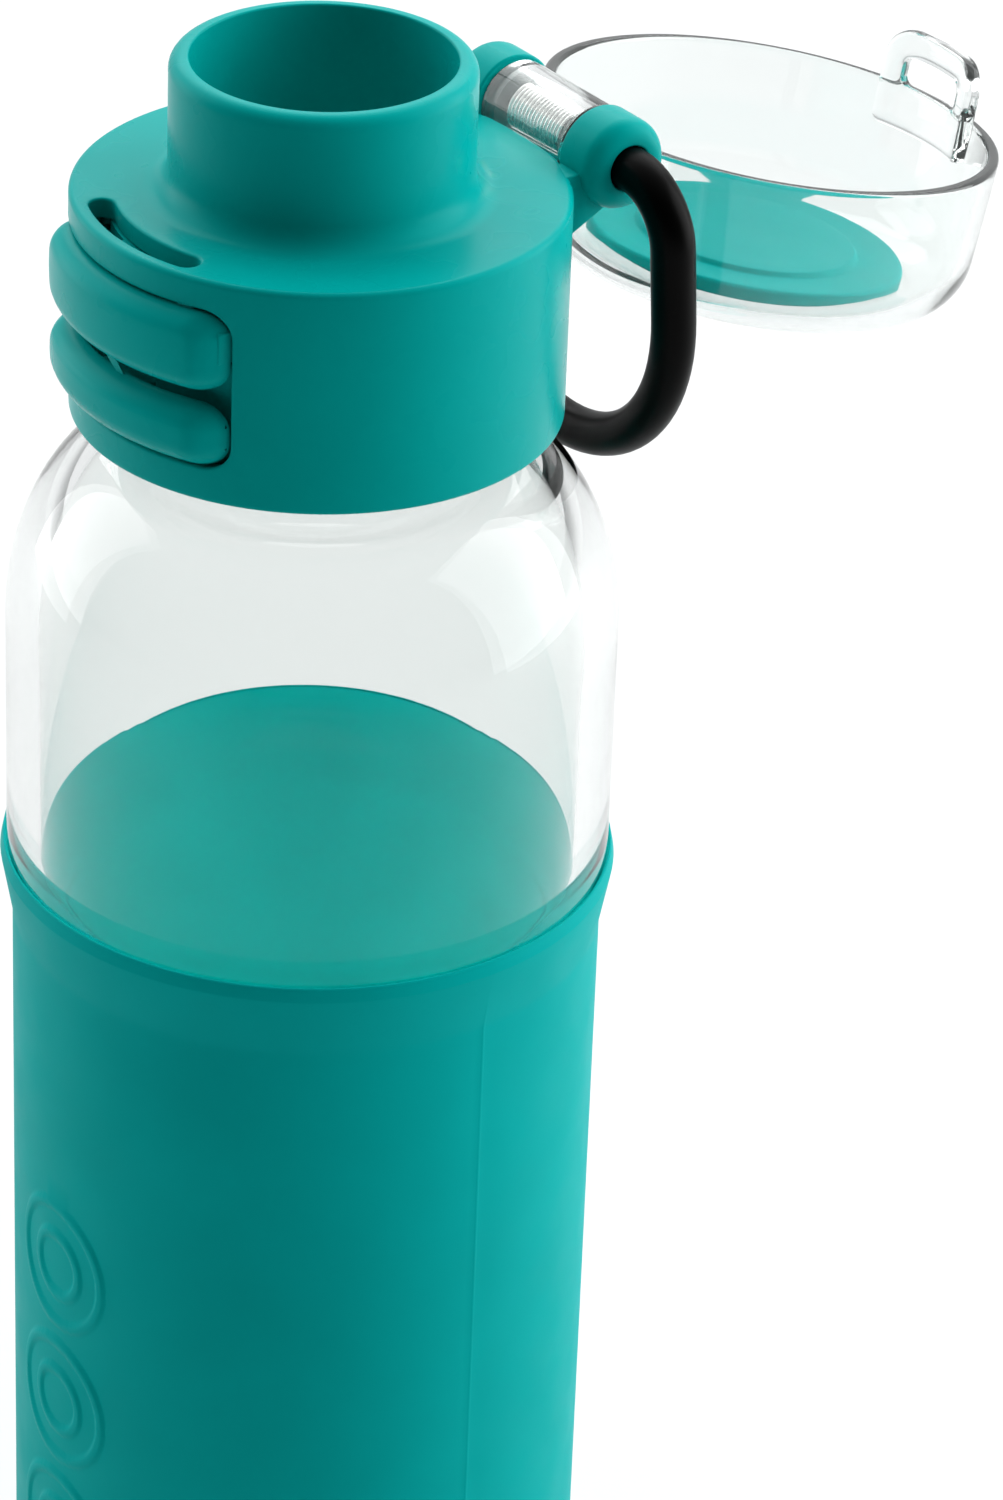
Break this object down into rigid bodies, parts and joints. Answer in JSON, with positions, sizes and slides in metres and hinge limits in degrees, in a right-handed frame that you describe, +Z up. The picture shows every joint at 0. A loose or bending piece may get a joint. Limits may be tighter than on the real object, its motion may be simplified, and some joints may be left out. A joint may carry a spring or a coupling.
{
  "type": "flip-lid water bottle",
  "caption": "Glass drinking bottle with a screw-on spout cap, a spring-open clear flip lid, a push latch, a rubber carry loop and a silicone sleeve.",
  "frame": {"origin": "centre of the base, on the surface the bottle stands on", "axes": "+Z up along the bottle axis, -Y towards the latch, +Y towards the lid hinge"},
  "size_m": [0.0728, 0.1274, 0.2476],
  "materials": {
    "glass": "clear gloss",
    "silicone": "soft matte",
    "clear_silicone": "soft matte",
    "cap_plastic": "fine satin",
    "liner_plastic": "satin",
    "clear_plastic": "clear gloss",
    "bush_plastic": "gloss",
    "steel": "drawn wire",
    "black_rubber": "moulded satin"
  },
  "bodies": {
    "bottle": {"glass_bottle": "glass", "silicone_sleeve": "silicone"},
    "ring": {"neck_gasket": "clear_silicone"},
    "cap": {"cap_shell": "cap_plastic", "thread_liner": "liner_plastic", "hinge_pin": "steel", "torsion_spring": "steel", "pin_bush_left": "bush_plastic", "pin_bush_right": "bush_plastic", "button_spring_left": "steel", "button_spring_right": "steel"},
    "button": {"release_button": "cap_plastic", "catch_hook": "cap_plastic"},
    "lock": {"lock_slider": "cap_plastic"},
    "flip_lid": {"lid": "clear_plastic", "lid_seal": "silicone"},
    "loop": {"carry_loop": "black_rubber"}
  },
  "joints": [
    {"name": "cap_lift", "type": "slide", "parent": "bottle", "child": "ring", "axis": [0, 0, 1], "range_m": [0, 0.006]},
    {"name": "cap_turn", "type": "hinge", "parent": "ring", "child": "cap", "pos_m": [0, 0, 0.205], "axis": [0, 0, 1], "range_deg": [0, 540]},
    {"name": "lid_hinge", "type": "hinge", "parent": "cap", "child": "flip_lid", "pos_m": [0, 0.03225, 0.2322], "axis": [1, 0, 0], "range_deg": [0, 190], "stiffness_Nm_per_rad": 0.01, "springref_deg": -20.05, "deforming": ["torsion_spring"]},
    {"name": "carry_swing", "type": "hinge", "parent": "cap", "child": "loop", "pos_m": [0, 0.03225, 0.2322], "axis": [1, 0, 0], "range_deg": [0, 20]},
    {"name": "button_press", "type": "slide", "parent": "cap", "child": "button", "axis": [0, 1, 0], "range_m": [0, 0.0016], "stiffness_N_per_m": 300, "springref_m": -0.003, "deforming": ["button_spring_left", "button_spring_right"]},
    {"name": "lock_slide", "type": "slide", "parent": "cap", "child": "lock", "axis": [0, 0, 1], "range_m": [0, 0.0014]}
  ],
  "couplings": [
    {"joint": "cap_lift", "follows": "cap_turn", "m_per_rad": 0.00063662}
  ]
}
